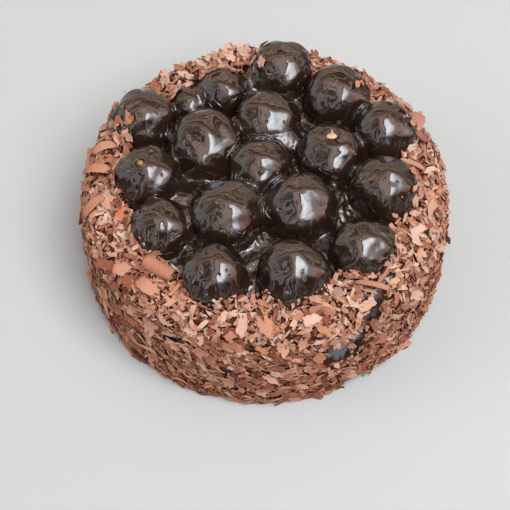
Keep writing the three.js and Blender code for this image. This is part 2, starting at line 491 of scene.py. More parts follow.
def turned(section, around):
    """Points and faces of a section (distance and height in mm) turned round the middle."""
    lengths = np.r_[0, np.cumsum(np.hypot(*np.diff(section, axis=0).T))]
    rows = int(lengths[-1] / ROW)
    fine = np.linspace(0, lengths[-1], rows)
    rs, zs = (np.interp(fine, lengths, np.array(section)[:, i]) * MM for i in (0, 1))
    points = []
    for r, z in zip(rs, zs):
        for step in range(around):
            turn = 2 * math.pi * step / around
            x, y = math.cos(turn), math.sin(turn)
            rough = UNEVEN * sum(
                high * noise.noise(Vector((x * wide, y * wide, z * tall)))
                for wide, tall, high in BUMPS
            )
            up = z + heap(turn) * max(z - FLOOR, 0) / RIM_RISE
            if z > 0:
                up += 0.4 * rough
            points.append(((r + rough) * x, (r + rough) * y, max(up, 0)))
    return points, rings_to_faces(rows, around)


DRUM_AROUND = 220
DRUM_SECTION = [
    (114.5, 0), (117.2, 3), (118.6, 15), (119.3, 40), (118.9, 62), (117.6, 74), (114.6, 80.5),
    (110.5, 84.3), (105, 85.6), (100, 85.4), (97, 84.2), (93, 80.6), (88, 80.3),
]
points, faces = turned(DRUM_SECTION, DRUM_AROUND)
foot = tuple(range(DRUM_AROUND))[::-1]
top = tuple(range(len(points) - DRUM_AROUND, len(points)))
drum = new_piece("glazed_drum", points, faces + [foot, top], DULL_GLAZE)
settle(drum, "shavings_coat", "cake_body")

# %% [markdown]
# ## The pool of glaze
# Poured glaze creeps up every puff that it touches and leaves a soft fillet in each valley, so
# no flat pool is left between them. Metaballs melt into each other in the same way, but a mirror
# would show their facets. So the skin is worked out: it lies where a sum of falling exponentials
# is one. Each puff, the pool and a few thick places give one term, and where two are close their
# terms add up and push the skin out. Points are lowered onto it along plumb lines, each time by
# most of what they are away from it.

# %% The edge of the pool
EDGE_BETWEEN = 97.0 * MM  # how far out the edge is where no puff pushes it
EDGE_MARGIN = 1.6 * MM
EDGE_SOFTNESS = 1.3 * MM
INSIDE = 60 * MM  # puffs nearer to the middle than this don't reach the edge


def edge_of_glaze(angle):
    """How far out the glaze ends at a bearing, in a soft line round the outer puffs."""
    total = math.exp(EDGE_BETWEEN / EDGE_SOFTNESS)
    for puff in puffs:
        distance = math.hypot(*puff.centre[:2])
        off = angle - math.atan2(puff.centre[1], puff.centre[0])
        reach = (puff.radius + EDGE_MARGIN) ** 2 - (distance * math.sin(off)) ** 2
        if distance < INSIDE or math.cos(off) < 0 or reach < 0:
            continue
        total += math.exp((distance * math.cos(off) + math.sqrt(reach)) / EDGE_SOFTNESS)
    return EDGE_SOFTNESS * math.log(total)


print("the pool ends at the front, mm:", round(edge_of_glaze(-math.pi / 2) / MM, 1))

# %% The skin of the poured glaze
CREEP = 2.2 * MM  # how far glaze creeps out of a corner
UNDER = 0.5 * MM  # the skin over a puff lies this far inside it
SUNK = 2.8 * MM  # the pool's own level lies this far below its highest creep
SWELL = 5 * MM  # and this much lower again at the edge of the cake
CAKE_RADIUS = 122 * MM
NEAR = 14 * MM  # farther away than this, a puff adds nothing
BLOBS = [  # bearing, distance, height and radius in mm of the thick places in the glaze
    (-23, 49, 86, 9), (93, 83, 89, 10), (37, 79, 86, 9), (58, 29, 92, 9), (-165, 55, 81.5, 9),
    (-129, 74, 82, 8), (-154, 68, 85, 6), (-149, 60, 86, 5), (-161, 62, 84, 5),
    (-53, 66, 83, 8), (17, 62, 85, 8), (98, 64, 85, 9),
]
RIPPLES = [  # heading, height angle, how quick in radians a metre, height in mm
    (10, 20, 330, 0.35), (75, -15, 420, 0.30), (-50, 10, 560, 0.22), (130, 30, 750, 0.15),
    (35, 0, 980, 0.10), (-20, 20, 1250, 0.08), (25, -10, 1600, 0.08), (-65, 0, 2300, 0.04),
]
POOL_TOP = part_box("glaze_pool")[1][2]


def spot(bearing, distance, height):
    """A place given by its bearing and by its distance and height in mm."""
    return heading(bearing, 0) * distance * MM + (0, 0, height * MM)


def away_from_skin(at):
    """How far points are from the skin of the glaze, on its outside."""
    level = POOL_TOP - SUNK - SWELL * (at[:, 0] ** 2 + at[:, 1] ** 2) / CAKE_RADIUS**2
    ripple = sum(
        high * MM * np.sin(at @ heading(turn, up) * quick + turn) for turn, up, quick, high in RIPPLES
    )
    total = np.exp((level + ripple - at[:, 2]) / CREEP)
    for puff in puffs:
        near = np.hypot(*(at[:, :2] - puff.centre[:2]).T) < puff.radius + NEAR
        inner = (at[near] - puff.centre) / puff.sizes
        length = np.maximum(np.linalg.norm(inner, axis=1), 1e-6)
        out = (length - puff.lumps(inner / length[:, None])) * puff.radius
        total[near] += np.exp(-(out + UNDER) / CREEP)
    for *place, radius in BLOBS:
        total += np.exp((radius * MM - np.linalg.norm(at - spot(*place), axis=1)) / CREEP)
    return -CREEP * np.log(total)


print("the pool's own level in the middle, mm:", round((POOL_TOP - SUNK) / MM, 1))

# %% Lower the pool
PLUMB_FROM, PLUMB_TO = 120 * MM, 81 * MM
PASSES, STRIDE = 45, 0.8
RINGS, SPOKES = 112, 480
BRINK, FALL = 2.5 * MM, 1.6 * MM  # the width and the height of the rounded brink
UNDERSIDE = 80.6 * MM
LOW_IN_POOL = 1.6  # so the pool is wavier than the foot of a puff


def lowered(flat):
    """Where plumb lines through flat (x, y) places meet the skin."""
    points = np.c_[flat, np.full(len(flat), PLUMB_FROM)]
    for _ in range(PASSES):
        points[:, 2] = np.maximum(points[:, 2] - STRIDE * away_from_skin(points), PLUMB_TO)
    return points


spokes = circle(SPOKES)
edges = np.array([edge_of_glaze(a) for a in spokes])
reach = np.linspace(0, 1, RINGS + 1)[:0:-1, None] * edges
rings = np.stack([reach * np.cos(spokes), reach * np.sin(spokes)], -1).reshape(-1, 2)
skin = lowered(np.concatenate([rings, [[0, 0]]]))
brink = np.clip(1 - (edges - reach).ravel() / BRINK, 0, 1)
skin[:-1, 2] -= FALL * (1 - np.sqrt(1 - brink**2))
skirt = skin[:SPOKES] * (1, 1, 0) + (0, 0, UNDERSIDE)
points = np.concatenate([skirt, skin])
faces = rings_to_faces(RINGS + 1, SPOKES)
crown, start = len(points) - 1, RINGS * SPOKES
faces += [(start + s, start + (s + 1) % SPOKES, crown) for s in range(SPOKES)]
pool = new_piece("poured_glaze", points, faces + [tuple(range(SPOKES))[::-1]], GLAZE)
paint(pool.data, "low", "FLOAT", np.full(len(points), LOW_IN_POOL))
settle(pool, "dark_glaze", "glaze_pool")

# %% [markdown]
# ## Seams and runs in the glaze
# Where two streams of glaze met in a valley they left a seam, and where glaze ran off a puff it
# set in thin runs. A mirror shows such a low ridge as a bright line. Bump in the material is the
# easy way, but it doesn't know where the valleys are. So each ridge is a thin tube, thickest in
# its middle, along a path that is drawn flat and then lowered onto the skin.

# %% Tubes and valleys
SHARED = 5 * MM  # puffs with less room than this between them share a valley


def tube(path, radii, sides=6):
    """A round cord along a path, as thick at each point as `radii` says."""
    path, ahead = np.asarray(path), np.gradient(path, axis=0)
    aside = np.cross(ahead, (0, 0, 1))
    aside /= np.linalg.norm(aside, axis=1)[:, None]
    upward = np.cross(aside, ahead)
    upward /= np.linalg.norm(upward, axis=1)[:, None]
    turns = circle(sides)[None, :, None]
    ring = aside[:, None] * np.cos(turns) + upward[:, None] * np.sin(turns)
    points = path[:, None] + ring * np.asarray(radii)[:, None, None]
    ends = [tuple(range(sides))[::-1], tuple(len(path) * sides - sides + i for i in range(sides))]
    return points.reshape(-1, 3), rings_to_faces(len(path), sides) + ends


def valleys():
    """The middle of the valley between each two neighbours, and the ways along and across it."""
    for i, one in enumerate(puffs):
        for other in puffs[i + 1:]:
            gap = (other.centre - one.centre)[:2]
            apart = np.linalg.norm(gap)
            if apart < one.radius + other.radius + SHARED:
                middle = one.centre[:2] + gap * (apart + one.radius - other.radius) / apart / 2
                yield middle, np.array((-gap[1], gap[0])) / apart, gap / apart


print("valleys:", len(list(valleys())))

# %% Lower the seams and the runs
STEPS = np.linspace(-1, 1, 15)
SEAMS, RUNS = 2, 12  # a valley, and a puff
SEAM_LIFT = 0.3 * MM


def ridge(rng, thinnest, thickest):
    """The radius along a tube that is thin at its ends."""
    return (0.05 + rng.uniform(thinnest, thickest) * (1 - STEPS**2)) * MM


rng = np.random.default_rng(11)
flat, radii = [], []
for middle, along, across in valleys():
    for _ in range(SEAMS):
        start, bow = rng.uniform(-7, 7), rng.uniform(-2.0, 2.0)
        ahead = (start + STEPS * rng.uniform(5, 11)) * MM
        off = (rng.uniform(-1.2, 1.2) + bow * STEPS**2) * MM
        flat.append(middle + ahead[:, None] * along + off[:, None] * across)
        radii.append(ridge(rng, 0.6, 1.2))
seams = len(flat)
rng = np.random.default_rng(23)
for puff in puffs:
    for _ in range(RUNS):
        turn = np.radians(rng.uniform(-180, 180) + rng.uniform(-22, 22) * STEPS)
        away = puff.radius * (rng.uniform(0.92, 1.0) + rng.uniform(0.06, 0.14) * STEPS)
        flat.append(puff.centre[:2] + away[:, None] * np.c_[np.cos(turn), np.sin(turn)])
        radii.append(ridge(rng, 0.5, 1.1))
paths = lowered(np.concatenate(flat)).reshape(len(flat), len(STEPS), 3)
paths[:seams, :, 2] += SEAM_LIFT
seam = new_piece("glaze_seams", *joined([tube(*each) for each in zip(paths, radii)]), GLAZE)
settle(seam, "dark_glaze")

# %% [markdown]
# ## Small things on the profiteroles
# One puff shows a peak of the cream that it was filled with, and one a drop of caramel in a burst
# bubble. Smaller bubbles burst and left rings round pits, which are shallow discs painted nearly
# black as painted shade, and some set whole, as domes in the valleys. Bump would do for the flat
# ones, but a peak stands up and a mirror shows every rim, so all are turned shapes, as from a
# lathe. They are tiny, so a dozen steps round are enough.

# %% Turned drops and rings
def frame_at(puff, bearing, up):
    """A matrix that stands things on a puff, +Z straight out of its skin."""
    way = heading(bearing, up)[None]
    out = Vector(way[0] / puff.sizes).normalized()
    return Matrix.Translation(puff.skin(way)[0]) @ out.to_track_quat("Z", "Y").to_matrix().to_4x4()


def turned_drop(profile, around=24):
    """A closed drop turned from (distance, height) pairs that end on the axis."""
    points = [(r * math.cos(t), r * math.sin(t), z) for r, z in profile[1:-1] for t in circle(around)]
    points = [(0, 0, profile[0][1])] + points + [(0, 0, profile[-1][1])]
    return np.array(points) * MM, ball_faces(around, len(profile) - 1)


def burst_ring(wide, thick, around=14, sides=6):
    """A ring lying on the skin."""
    points, faces = [], []
    for i, a in enumerate(circle(around)):
        for j, b in enumerate(circle(sides)):
            out = wide + thick * math.cos(b)
            points.append((out * math.cos(a), out * math.sin(a), thick * math.sin(b) * 0.8))
            here, ahead, up = i * sides, (i + 1) % around * sides, (j + 1) % sides
            faces.append((here + j, ahead + j, ahead + up, here + up))
    return np.array(points) * MM, faces


def stand_on(puff, bearing, up, points):
    place = frame_at(puff, bearing, up)
    return [place @ Vector(p) for p in points]

# %% Cream peak and caramel drop
PEAK = [  # distance from the axis and height, in mm
    (0, -1.2), (3.0, -1.0), (3.5, -0.2), (3.3, 0.5), (2.2, 1.4), (1.4, 2.4), (0.9, 3.6),
    (0.5, 5.2), (0.3, 6.3), (0, 6.6),
]
DROP = [(0, -0.6), (1.7, -0.4), (2.2, 0.3), (1.9, 1.0), (1.0, 1.6), (0, 1.8)]

by_number = {puff.number: puff for puff in puffs}
points, faces = turned_drop(PEAK)
points = points * (1, 0.65, 1) + by_number[PEAK_ON].skin(heading(*PEAK_AT)[None])
settle(new_piece("cream_peak", points, faces, CREAM), "dark_glaze")
points, faces = turned_drop(DROP)
points = stand_on(by_number[DROP_ON], *DROP_AT, points)
settle(new_piece("caramel_drop", points, faces, AMBER), "dark_glaze")

# %% Bubbles
DOME = [(0, -0.5), (0.9, -0.3), (1, 0.1), (0.8, 0.6), (0.45, 0.85), (0, 0.95)]
BURST, WHOLE = 4, 3  # a puff, and a valley

rng = np.random.default_rng(5)
spots = [(by_number[DROP_ON], *DROP_AT, 3.6, 0.6)]
for puff in puffs:
    for _ in range(BURST):
        bearing, up = rng.uniform(-150, -20), rng.uniform(42, 85)
        spots.append((puff, bearing, up, rng.uniform(0.7, 1.3), 0.35))
rings, pits = [], []
for *place, wide, thick in spots:
    points, faces = burst_ring(wide, thick)
    rings.append((stand_on(*place, points), faces))
    # a flat disc in each ring, painted nearly black as the shade of the hole
    points, faces = turned_drop([(0, -0.6), (wide, -0.4), (wide, 0.05), (0, 0.12)], 12)
    pits.append((stand_on(*place, points), faces))
flat = [
    middle + (rng.uniform(-9, 9) * along + rng.uniform(-3, 3) * across) * MM
    for middle, along, across in valleys() for _ in range(WHOLE)
]
points, faces = turned_drop(DOME, 12)
domes = [(points * rng.uniform(0.6, 1.4) + place, faces) for place in lowered(np.array(flat))]
settle(new_piece("burst_bubbles", *joined(rings), GLAZE), "dark_glaze")
settle(new_piece("whole_bubbles", *joined(domes), GLAZE), "dark_glaze")
settle(new_piece("bubble_pits", *joined(pits), PIT_SHADE), "dark_glaze")

# %% [markdown]
# ## Shavings, one by one
# A blade drawn over a block of chocolate makes plates with torn edges, slivers with sharp ends,
# and strips that roll up. A fracture tool could break a sheet, but it gives no say over the number
# of faces, and there are thousands of shavings. So each kind is worked out as a small closed shape
# about half a millimetre thick, with a few dozen faces. Facets stay flat on all but the largest,
# because broken chocolate has crisp edges.

# %% Torn plates
SHALLOW = 0.07  # how deep the other sides are torn


def torn_outline(rng, corners, aspect, tears, deepest):
    """Corners on an uneven oval with torn points between them. One side is torn deepest."""
    turns = np.sort((np.arange(corners) + rng.uniform(-0.3, 0.3, corners)) * 2 * np.pi / corners)
    tops = np.c_[np.cos(turns), np.sin(turns) * aspect] * rng.uniform(0.75, 1.05, (corners, 1)) / 2
    torn, points = rng.integers(corners), []
    for i in range(corners):
        a, b = tops[i], tops[(i + 1) % corners]
        points.append(a)
        side = np.array([b[1] - a[1], a[0] - b[0]])
        for j in range(tears):
            share = (j + 1 + rng.uniform(-0.25, 0.25)) / (tears + 1)
            depth = (deepest if i == torn else SHALLOW) * rng.uniform(0.5, 1.0) * (-1) ** j
            points.append(a + (b - a) * share + side * depth)
    return np.array(points)


def slab(rng, outline, size, thick, rings=0, bend=0.0):
    """An outline with a top and an underside. With rings it bends along one line."""
    n = len(outline)
    flat = [outline * size * share for share in np.linspace(1, 0, rings + 1)[:-1]]
    flat = np.concatenate(flat + [np.zeros((1, 2))]) if rings else outline * size
    crease = rng.uniform(0, np.pi)
    lift = bend * (flat @ (np.cos(crease), np.sin(crease))) ** 2 / size
    half = len(flat)
    points = np.concatenate([np.c_[flat, lift + thick / 2], np.c_[flat, lift - thick / 2]])
    faces = [(s, half + s, half + (s + 1) % n, (s + 1) % n) for s in range(n)]
    if not rings:
        return points, faces + [tuple(range(n)), tuple(range(half, half + n))[::-1]]
    for s in range(n):
        t, inner = (s + 1) % n, (rings - 1) * n
        tops = [(a + s, a + t, a + n + t, a + n + s) for a in range(0, inner, n)]
        for top in tops + [(inner + s, inner + t, half - 1)]:
            faces += [top, tuple(half + i for i in (top[1], top[0], *top[:1:-1]))]
    return points, faces

# %% Strips and slivers
def strip(rng, length, width, steps, roll, thick, lanes=1, taper=0.2, ragged=0.08):
    """A strip bent by `roll` radians along its length, with uneven sides and slanting ends."""
    radius = length / max(roll, 1e-3)
    slant = rng.uniform(-0.5, 0.5) * width / length
    edge = rng.uniform(1 - ragged, 1 + ragged, (steps + 1, lanes + 1))
    ends = rng.uniform(-ragged, ragged, (2, lanes + 1))
    points, faces = [], []
    for side in (1, -1):
        for i in range(steps + 1):
            for j in range(lanes + 1):
                share, aside = i / steps - 0.5, j / lanes - 0.5
                across = aside * width * (1 - taper * abs(2 * share) ** 3) * edge[i, j]
                share += slant * aside + ends[0, j] * (i == 0) + ends[1, j] * (i == steps)
                angle, out = roll * share, radius + side * thick / 2
                lift = out * math.cos(angle) - radius + 0.25 * share * across
                points.append((out * math.sin(angle), across, lift))
    row, half = lanes + 1, (steps + 1) * (lanes + 1)
    for a in (i * row + j for i in range(steps) for j in range(lanes)):
        b = a + row
        faces += [(a, b, b + 1, a + 1), (half + a + 1, half + b + 1, half + b, half + a)]
    rim = [i * row for i in range(steps + 1)]
    rim += [steps * row + j for j in range(1, lanes + 1)]
    rim += [i * row + lanes for i in range(steps - 1, -1, -1)]
    rim += [j for j in range(lanes - 1, 0, -1)]
    for a, b in zip(rim, rim[1:] + rim[:1]):
        faces.append((half + a, half + b, b, a))
    return np.array(points), faces


def sliver(rng, length, width, thick):
    """A flat splinter with two sharp ends."""
    xs = np.array([-0.5, -0.2, 0.15, 0.5, 0.2, -0.15]) + rng.uniform(-0.08, 0.08, 6)
    ys = np.array([0.1, -0.5, -0.4, 0.0, 0.5, 0.45]) * rng.uniform(0.6, 1.1, 6)
    return slab(rng, np.c_[xs, ys * width / length], length, thick)

# %% [markdown]
# ## Six heaps to pick from
# Nobody can tell that a few dozen shapes come back thousands of times, when each is turned, tipped
# and sized anew. Crumbs, slivers, chips, planks, plates and leaves are kept apart, each kind in
# its own collection, because each is scattered at its own spacing. Every shape stores `shaved`,
# its own coordinates, before it is copied.

# %% Shapes to copy
rng = np.random.default_rng(18)


def sort_of(kind, shapes):
    shelf = bpy.data.collections.new(kind)
    for index, (points, faces) in enumerate(shapes):
        mesh = bpy.data.meshes.new(f"{kind}_{index}")
        mesh.from_pydata((points * MM).tolist(), [], faces)
        mesh.update()
        paint(mesh, "shaved", "FLOAT_VECTOR", points * MM)
        shelf.objects.link(bpy.data.objects.new(mesh.name, mesh))
    return shelf


def some(count, make):
    return [make() for _ in range(count)]


crumbs = sort_of("crumbs", some(8, lambda: slab(
    rng, torn_outline(rng, 4, rng.uniform(0.5, 0.9), 0, 0), 2.2, 0.45
)))
slivers = sort_of("slivers", some(10, lambda: sliver(
    rng, rng.uniform(7, 16), rng.uniform(1.8, 4.6), 0.4
)))
chips = sort_of("chips", some(12, lambda: slab(
    rng, torn_outline(rng, rng.integers(3, 6), rng.uniform(0.45, 0.9), 1, 0.12), 6.0, 0.45
)))
planks = sort_of("planks", some(8, lambda: strip(
    rng, rng.uniform(6, 11), rng.uniform(1.8, 3.2), 2, rng.uniform(0.1, 0.7), 0.5
)))
plates = sort_of("plates", some(14, lambda: slab(
    rng, torn_outline(rng, 5, rng.uniform(0.35, 0.75), 2, 0.35), 15.0, 0.5, 1, rng.uniform(0.0, 0.3)
)))
leaves = sort_of("leaves", some(8, lambda: slab(
    rng, torn_outline(rng, 5, rng.uniform(0.4, 0.7), 3, 0.45), 18.0, 0.6, 2, rng.uniform(0.1, 0.35)
)) + some(4, lambda: strip(rng, 15, 5.5, 6, rng.uniform(0.8, 1.8), 0.55, 2, 0.15, 0.15)))

# %% [markdown]
# ## One tree that scatters
# Particles could strew the shavings too, but they are lost in an export, and a node tree shows
# every step. The tree drops points on a bed with a least spacing, thins them by one of the bed's
# covers, and sets a shaving on each. It turns the shaving along the bed's `lie`, gives it a random
# spin as wide as `spread` allows, and tips it by as much as `loose` allows. It then lifts it by a
# random part of the coat's depth, so that shavings overlap in layers. Each gets its `tone` before
# the instances are made real, because an instance's value reaches its points then.

# %% Build the tree
PLENTY = 1e6  # points a square metre, before the spacing thins them


def scatter_tree():
    tree = bpy.data.node_groups.new("scatter_shavings", "GeometryNodeTree")
    sockets = {}
    for name, kind in (
        ("Bed", "Geometry"), ("Kind", "Collection"), ("Cover", "String"), ("Spacing", "Float"),
        ("Coat", "Float"), ("Tip", "Float"), ("Smallest", "Float"), ("Largest", "Float"),
        ("Darkest", "Float"), ("Palest", "Float"), ("Seed", "Int"), ("Finish", "Material"),
    ):
        sockets[name] = tree.interface.new_socket(
            name, in_out="INPUT", socket_type="NodeSocket" + kind
        )
    tree.interface.new_socket("Shavings", in_out="OUTPUT", socket_type="NodeSocketGeometry")
    asked = tree.nodes.new("NodeGroupInput")
    ask = {name: Flow(tree, asked.outputs[name]) for name in sockets}
    flow = Flow(tree)

    def chance(low, high, seed):
        inputs = {2: low, 3: high, 8: ask["Seed"] + seed}
        return flow.node("FunctionNodeRandomValue", {"data_type": "FLOAT"}, inputs, out=1)

    def painted(name, kind="FLOAT"):
        return flow.node("GeometryNodeInputNamedAttribute", {"data_type": kind}, {"Name": name})

    drop = flow.node(
        "GeometryNodeDistributePointsOnFaces",
        {"distribute_method": "POISSON"},
        {"Mesh": ask["Bed"], "Distance Min": ask["Spacing"], "Density Max": PLENTY,
         "Density Factor": painted(ask["Cover"]), "Seed": ask["Seed"]},
    )
    normal = Flow(tree, drop.socket.node.outputs["Normal"])
    upright = Flow(tree, drop.socket.node.outputs["Rotation"])
    along = flow.node(
        "FunctionNodeAlignRotationToVector", {"axis": "X", "pivot_axis": "Z"},
        {"Rotation": upright, "Vector": painted("lie", "FLOAT_VECTOR")},
    )
    tip = ask["Tip"] * painted("loose")
    lean = flow.node(
        "ShaderNodeCombineXYZ", {},
        {"X": tip * chance(-1.0, 1.0, 1), "Y": tip * chance(-1.0, 1.0, 2),
         "Z": painted("spread") * chance(-1.0, 1.0, 3)},
    )
    turn = flow.node("FunctionNodeEulerToRotation", {}, {"Euler": lean})
    turned_to = flow.node(
        "FunctionNodeRotateRotation", {"rotation_space": "LOCAL"},
        {"Rotation": along, "Rotate By": turn},
    )
    lift = flow.node(
        "ShaderNodeVectorMath", {"operation": "SCALE"},
        {0: normal, "Scale": ask["Coat"] * chance(0.0, 1.0, 4)},
    )
    raised = flow.node("GeometryNodeSetPosition", {}, {"Geometry": drop, "Offset": lift})
    pick = flow.node(
        "GeometryNodeCollectionInfo", {},
        {"Collection": ask["Kind"], "Separate Children": True, "Reset Children": True},
    )
    set_down = flow.node(
        "GeometryNodeInstanceOnPoints", {},
        {"Points": raised, "Instance": pick, "Pick Instance": True, "Rotation": turned_to,
         "Scale": chance(ask["Smallest"], ask["Largest"], 5)},
    )
    # the random tone is scaled by the bed's `pale`, which holds painted light and shade
    shade = chance(ask["Darkest"], ask["Palest"], 6) * painted("pale")
    toned = flow.node(
        "GeometryNodeStoreNamedAttribute", {"data_type": "FLOAT", "domain": "INSTANCE"},
        {"Geometry": set_down, "Name": "tone", "Value": shade},
    )
    real = flow.node("GeometryNodeRealizeInstances", {}, {"Geometry": toned})
    dressed = flow.node(
        "GeometryNodeSetMaterial", {}, {"Geometry": real, "Material": ask["Finish"]}
    )
    given = tree.nodes.new("NodeGroupOutput")
    tree.links.new(dressed.socket, given.inputs["Shavings"])
    return tree, {name: socket.identifier for name, socket in sockets.items()}


SCATTER, INPUT_OF = scatter_tree()
print("tree", SCATTER.name, "has", len(SCATTER.nodes), "nodes")

# %% [markdown]
# ## Where shavings stick
# They cover the side and the rim and leave a few wet-looking places bare. On the rim they lie
# every way. On the side they were patted on by a hand that moved round the cake, so they lie
# flat and mostly slant one way. Weights could be painted on by hand with a brush. Here a few
# formulas paint them on the bed, as numbers at its points, so that they can be changed later.

# %% Formulas for the coat
BARE_PLACES = [  # bearing, height, half the width and half the height in mm
    (-48, 86, 8, 4.5), (-53, 81, 6, 6), (-57, 74, 6.5, 6.5), (-61, 63, 7, 6), (-66, 49, 17, 12),
    (-62, 5, 9, 8), (-121, 60, 9, 6), (-101, 38, 7, 4), (-30, 60, 7, 5), (60, 50, 9, 6),
    (150, 45, 8, 6),
]
BARE_FADE = 0.6, 1.15  # bare within the first share of such a place, covered past the second
RIM_FADE = 88 * MM, 96 * MM  # on the rim the coat starts between these distances from the middle
PUFF_FADE = -4.5 * MM, 1.5 * MM  # and between these distances from a puff
ON_TOP = 84.5 * MM  # the rim lies above this height
MM_A_DEGREE = 2.1  # along the side
SLANT = math.radians(-38)
PATCHES, SWERVES = 120, 38  # how many a metre, in the cover and in the slant


def ease(value, low, high):
    x = min(max((value - low) / (high - low), 0.0), 1.0)
    return x * x * (3 - 2 * x)


def cover_at(x, y, z):
    """How much of the coat is left at a place, from 0 where it is bare to 1."""
    distance, angle = math.hypot(x, y), math.degrees(math.atan2(y, x))
    gap = min(math.hypot(x - p.centre[0], y - p.centre[1]) - p.radius for p in puffs)
    covered = ease(distance, *RIM_FADE) * ease(gap, *PUFF_FADE)
    covered = covered if z > ON_TOP else 1.0
    for bearing, height, wide, high in BARE_PLACES:
        across = math.remainder(angle - bearing, 360) * MM_A_DEGREE / wide
        covered *= ease(math.hypot(across, (z / MM - height) / high), *BARE_FADE)
    return min(covered * (0.85 + 0.4 * noise.noise(Vector((x, y, z)) * PATCHES)), 1.0)


def lie_at(x, y, z):
    """The way that shavings lie along."""
    round_it = Vector((-y, x, 0)).normalized()
    slant = SLANT + 1.1 * noise.noise(Vector((x, y, z)) * SWERVES)
    return round_it * math.cos(slant) + Vector((0, 0, math.sin(slant)))

# %% The bed for the shavings
BED_SECTION = [
    (117.0, 2.5), (118.8, 15), (119.5, 40), (119.1, 62), (117.8, 74), (114.8, 80.9),
    (110.8, 84.9), (105, 86.6), (96, 86.8), (88, 86.8),
]
BED_AROUND = 240
RIM_EDGE, RIM_FOOT = 104 * MM, 84 * MM  # within these the bed lies on the glaze
CLIMB = 9 * MM  # how far it may rise to it
SHOULDER = 66 * MM, 84 * MM  # the side turns into the rim between these heights
SHADED = 45 * MM  # below this height the shavings darken downwards

points, faces = turned(BED_SECTION, BED_AROUND)
points = np.array(points)
inner = (np.hypot(points[:, 0], points[:, 1]) < RIM_EDGE) & (points[:, 2] > RIM_FOOT)
height = points[inner, 2]
points[inner, 2] = np.clip(lowered(points[inner, :2])[:, 2], height, height + CLIMB)
bed = new_piece("bed", points, faces, GLAZE)
places = [tuple(v.co) for v in bed.data.vertices]
covers = np.array([cover_at(*place) for place in places])
up = np.array([ease(z, *SHOULDER) for _, _, z in places])
low = np.array([ease(z, SHADED, 0.0) for _, _, z in places])
for name, kind, values in (
    ("everywhere", "FLOAT", covers),
    ("rim", "FLOAT", covers * up),
    ("side", "FLOAT", covers * (1 - 0.75 * up)),
    ("loose", "FLOAT", 0.55 + 0.45 * up),
    ("spread", "FLOAT", 0.55 + 2.6 * up),
    # `pale` paints light and shade into the tone: paler on the rim that faces the lamps, paler towards
    # +X where the key lamp stands, and darker below SHADED as painted shade near the foot
    ("pale", "FLOAT", 0.86 + 0.11 * up - 0.19 * low + 0.45 * np.array(places)[:, 0]),
    ("lie", "FLOAT_VECTOR", [lie_at(*place) for place in places]),
):
    paint(bed.data, name, kind, values)
paint(drum.data, "bare", "FLOAT", [1 - cover_at(*v.co) for v in drum.data.vertices])
print("bed has", len(places), "points, and shavings cover", round(covers.mean(), 2), "of it")

# %% Scatter
LOWEST_SHAVING = 0.3 * MM


def scatter(name, kind, cover, spacing, coat, tip, sizes, tones, seed):
    """One kind of shaving, at a least spacing and in a coat of so many mm."""
    piece = bpy.data.objects.new(name, bed.data.copy())
    bpy.context.scene.collection.objects.link(piece)
    modifier = piece.modifiers.new("scatter", "NODES")
    modifier.node_group = SCATTER
    for socket, value in (
        ("Kind", kind), ("Cover", cover), ("Spacing", spacing * MM), ("Coat", coat * MM),
        ("Tip", tip), ("Smallest", sizes[0]), ("Largest", sizes[1]), ("Darkest", tones[0]),
        ("Palest", tones[1]), ("Seed", seed), ("Finish", MILK),
    ):
        modifier[INPUT_OF[socket]] = value
    baked(piece)
    places = np.empty(len(piece.data.vertices) * 3)
    piece.data.vertices.foreach_get("co", places)
    places[2::3] = np.maximum(places[2::3], LOWEST_SHAVING)
    piece.data.vertices.foreach_set("co", places)
    settle(piece, "milk_chocolate")


scatter("shaved_crumbs", crumbs, "everywhere", 2.1, 2.6, 0.9, (0.3, 1.1), (0.1, 0.8), 1)
scatter("shaved_slivers", slivers, "side", 3.9, 2.6, 0.85, (0.4, 1.0), (0.1, 1.0), 20)
scatter("shaved_chips", chips, "everywhere", 4.0, 2.8, 0.8, (0.35, 1.2), (0.2, 1.0), 40)
scatter("shaved_planks", planks, "rim", 4.6, 3.4, 0.7, (0.5, 1.2), (0.25, 1.0), 60)
scatter("shaved_plates", plates, "everywhere", 5.2, 3.2, 0.65, (0.3, 0.85), (0.25, 1.0), 80)
scatter("shaved_leaves", leaves, "everywhere", 9.2, 3.9, 0.55, (0.4, 0.95), (0.3, 0.96), 100)
bpy.data.objects.remove(bed)

# %% [markdown]
# ## The largest curls
# Twelve big pieces lie on the rim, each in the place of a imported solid, which gives the middle.
# Some are strips that rolled up under the blade, others torn plates with a slight bend. They
# could be shrunk onto the rim by a modifier, but real ones touch it in a few places only. So each
# is turned to the slope of the rim by a lean of its own, and its box is brought over the solid's.

# %% Large curls
ROLLS = {  # heading of the bend in degrees, length, width, radius of the bend, lean, tone
    "curl_01": (57, 15, 22, 4.6, 5, 0.50), "curl_02": (-45, 18, 8, 12, 25, 0.57),
    "curl_05": (37, 20, 7, 15, 25, 0.50), "curl_06": (-12, 20, 7, 13, 15, 0.52),
    "curl_07": (20, 18, 7, 12, 10, 0.58), "curl_10": (-11, 23, 3.4, 26, 12, 0.50),
}
TORN = {  # heading of the long side, length, width as a share, how deep it is torn, lean, tone
    # curl_04 takes tone 1.0, the painted glow of light through thin chocolate at the end of the ramp
    "curl_03": (-10, 17, 0.62, 0.10, 25, 0.60), "curl_04": (62, 18, 0.5, 0.10, 25, 1.0),
    "curl_08": (40, 17, 0.70, 0.15, 15, 0.55), "curl_09": (75, 21, 0.60, 0.20, 15, 0.90),
    "curl_11": (-66, 24, 0.50, 0.75, 20, 0.56), "curl_12": (15, 18, 0.55, 0.25, 15, 0.90),
}
THICK = 0.7  # mm


